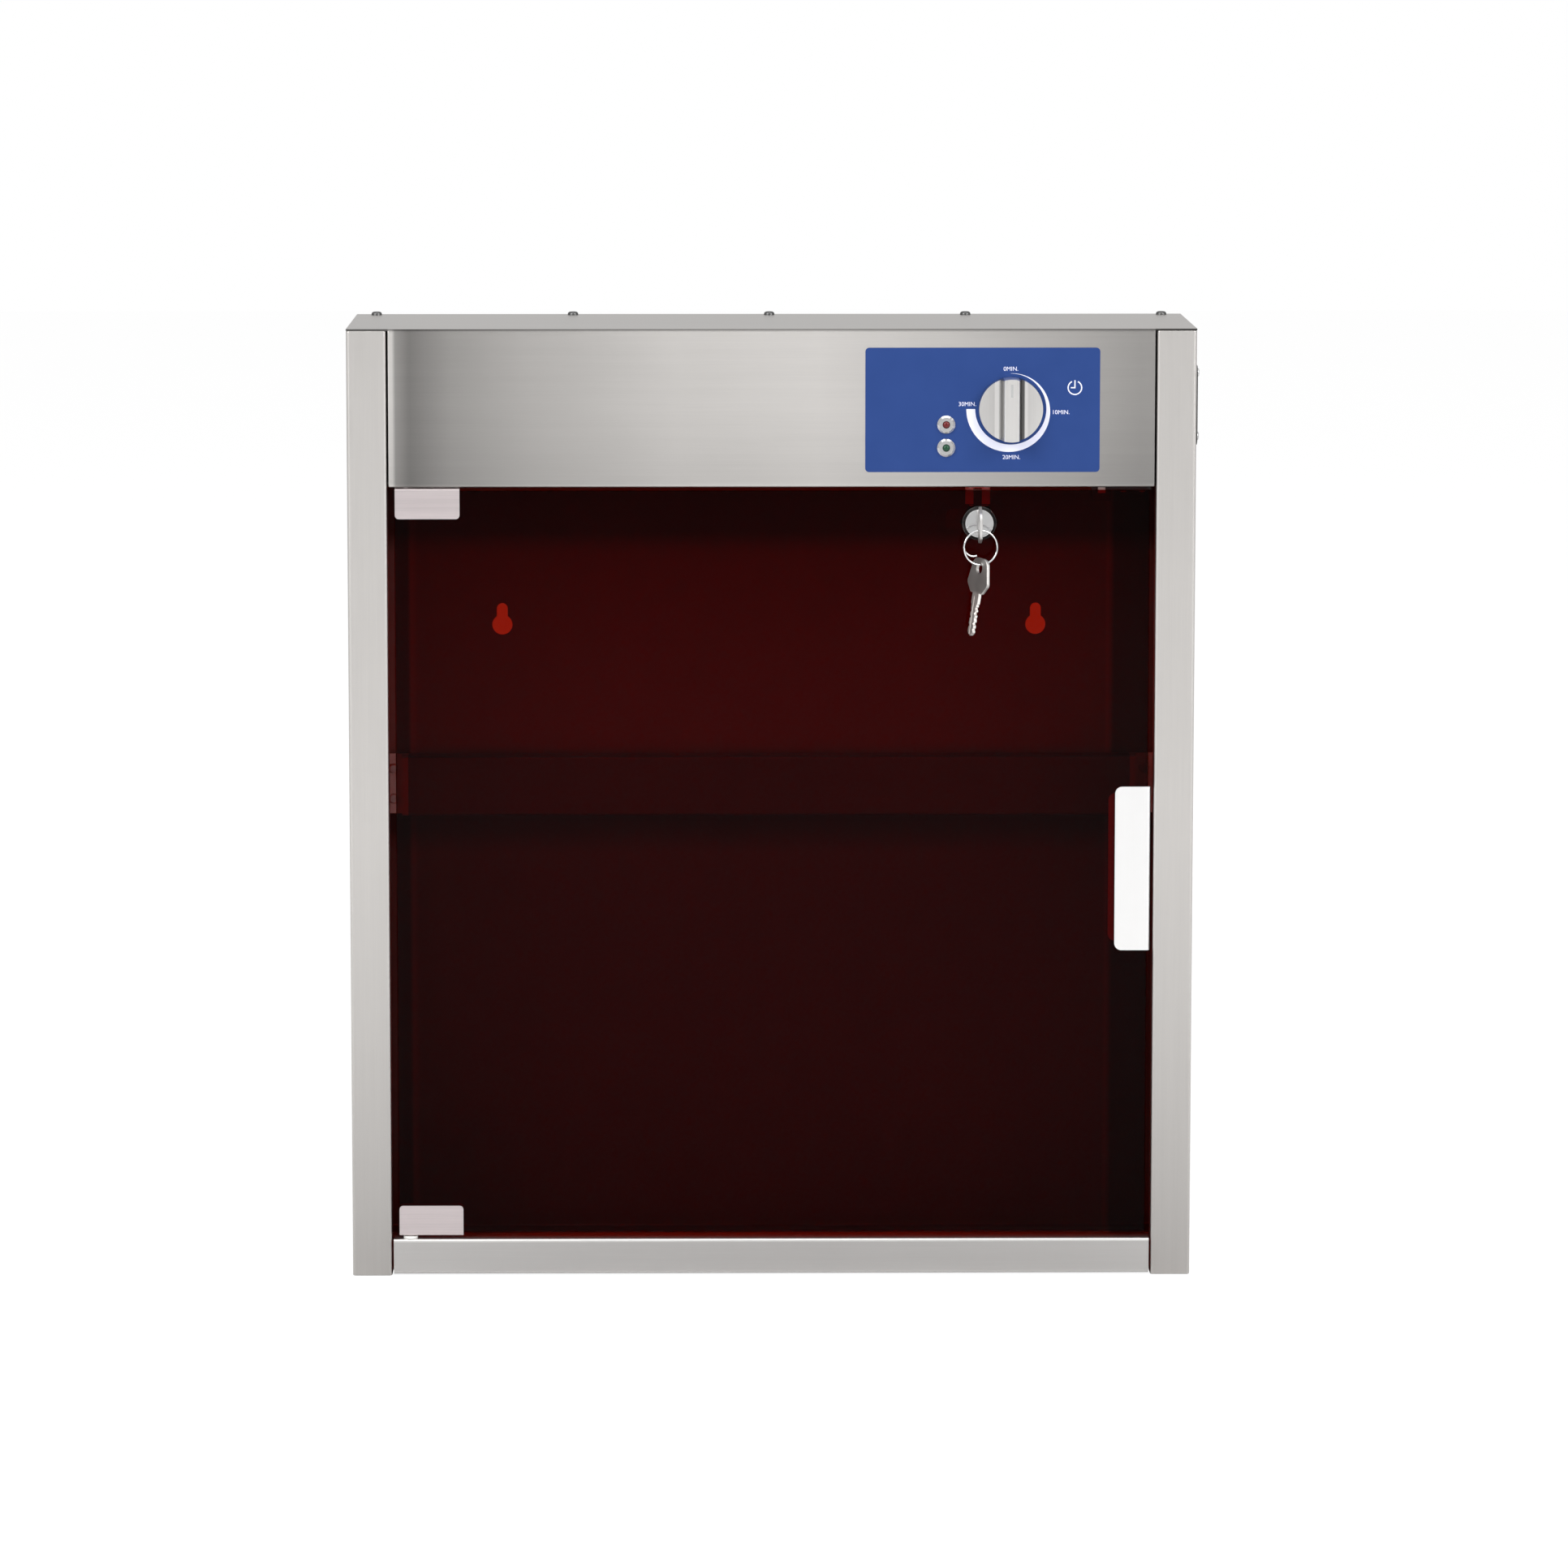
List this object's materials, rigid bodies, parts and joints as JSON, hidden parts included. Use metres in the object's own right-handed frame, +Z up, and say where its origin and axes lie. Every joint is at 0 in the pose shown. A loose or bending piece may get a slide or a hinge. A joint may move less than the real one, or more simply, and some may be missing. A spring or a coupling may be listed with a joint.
{
  "type": "knife sterilizer cabinet",
  "caption": "Wall-hung ultraviolet knife sterilizer: folded steel cabinet with a lockable dark see-through door, a timer and indicator lamps on the header and a knife bar inside.",
  "frame": {"origin": "the middle between the two wall keyholes, on the cabinet's back face", "axes": "+Y towards the wall, +X to the right seen from the front, +Z up"},
  "size_m": [0.5341, 0.1683, 0.6022],
  "materials": {
    "cabinet_steel": "brushed",
    "polished_steel": "polished",
    "tray_steel": "satin",
    "chrome": "polished",
    "key_nickel": "satin",
    "zinc_screw": "satin",
    "brown_glass": "gloss",
    "lamp_glass": "gloss",
    "label_blue": "gloss",
    "black_plastic": "matte",
    "knob_metal": "brushed",
    "white_plastic": "matte",
    "pointer_white": "matte",
    "red_lens": "gloss",
    "green_lens": "gloss",
    "aluminium": "satin",
    "ballast_case": "satin",
    "pad_rubber": "matte",
    "magnet": "matte",
    "lead_sheath": "matte"
  },
  "bodies": {
    "cabinet": {"top_cover": "cabinet_steel", "left_side_panel": "cabinet_steel", "right_side_panel": "cabinet_steel", "back_panel": "cabinet_steel", "bottom_panel": "cabinet_steel", "electrics_tray": "tray_steel", "top_cover_screws": "zinc_screw", "control_label": "label_blue", "timer_body": "black_plastic", "timer_nut": "chrome", "red_indicator_bezel": "chrome", "green_indicator_bezel": "chrome", "red_indicator_lens": "red_lens", "green_indicator_lens": "green_lens", "indicator_nuts": "zinc_screw", "ballast": "ballast_case", "starter": "aluminium", "starter_holder": "white_plastic", "terminal_block": "white_plastic", "mains_inlet": "black_plastic", "inlet_screws": "zinc_screw", "lamp_tube": "lamp_glass", "lamp_caps": "aluminium", "left_lamp_holder": "white_plastic", "right_lamp_holder": "white_plastic", "knife_bar_cover": "cabinet_steel", "knife_bar_magnets": "magnet", "knife_bar_brackets": "cabinet_steel", "bracket_screws": "zinc_screw", "strike_bracket": "zinc_screw", "strike_rivets": "zinc_screw", "interlock_switch": "black_plastic", "interlock_screws": "zinc_screw", "top_pivot_bush": "white_plastic", "bottom_pivot_washer": "white_plastic", "internal_wiring": "lead_sheath"},
    "door": {"door_panel": "brown_glass", "top_hinge_clip": "polished_steel", "bottom_hinge_clip": "polished_steel", "hinge_pads": "pad_rubber", "hinge_set_screws": "zinc_screw", "door_handle": "polished_steel", "handle_pad": "pad_rubber", "lock_housing": "chrome", "lock_nut": "chrome"},
    "lock": {"lock_plug": "chrome", "lock_cam": "zinc_screw", "cam_screw": "zinc_screw"},
    "key": {"inserted_key": "key_nickel"},
    "ring": {"key_ring": "chrome"},
    "hanging_key": {"spare_key": "key_nickel"},
    "timer": {"timer_knob": "knob_metal", "knob_pointer": "pointer_white", "timer_shaft": "polished_steel"},
    "plunger": {"switch_plunger": "white_plastic"}
  },
  "joints": [
    {"name": "door_hinge", "type": "hinge", "parent": "cabinet", "child": "door", "pos_m": [-0.2284, -0.135, -0.137], "axis": [0, 0, -1], "range_deg": [0, 125]},
    {"name": "lock_turn", "type": "hinge", "parent": "door", "child": "lock", "pos_m": [0.1298, -0.126, 0.0793], "axis": [0, 1, 0], "range_deg": [0, 90]},
    {"name": "key_withdraw", "type": "slide", "parent": "lock", "child": "key", "axis": [0, -1, 0], "range_m": [0, 0.025]},
    {"name": "ring_turn", "type": "hinge", "parent": "key", "child": "ring", "pos_m": [0.1298, -0.158, 0.0709], "axis": [0, 1, 0], "range_deg": [-90, 0]},
    {"name": "hanging_key_swing", "type": "hinge", "parent": "ring", "child": "hanging_key", "pos_m": [0.1298, -0.158, 0.05528], "axis": [-0.8576, -0.5, 0.1205], "range_deg": [-15, 80]},
    {"name": "timer_turn", "type": "hinge", "parent": "cabinet", "child": "timer", "pos_m": [0.149, -0.15, 0.151], "axis": [0, 1, 0], "range_deg": [0, 270]},
    {"name": "plunger_press", "type": "slide", "parent": "cabinet", "child": "plunger", "axis": [0, 1, 0], "range_m": [0, 0.002], "stiffness_N_per_m": 150}
  ],
  "couplings": [
    {"joint": "ring_turn", "follows": "lock_turn", "ratio": -1}
  ]
}
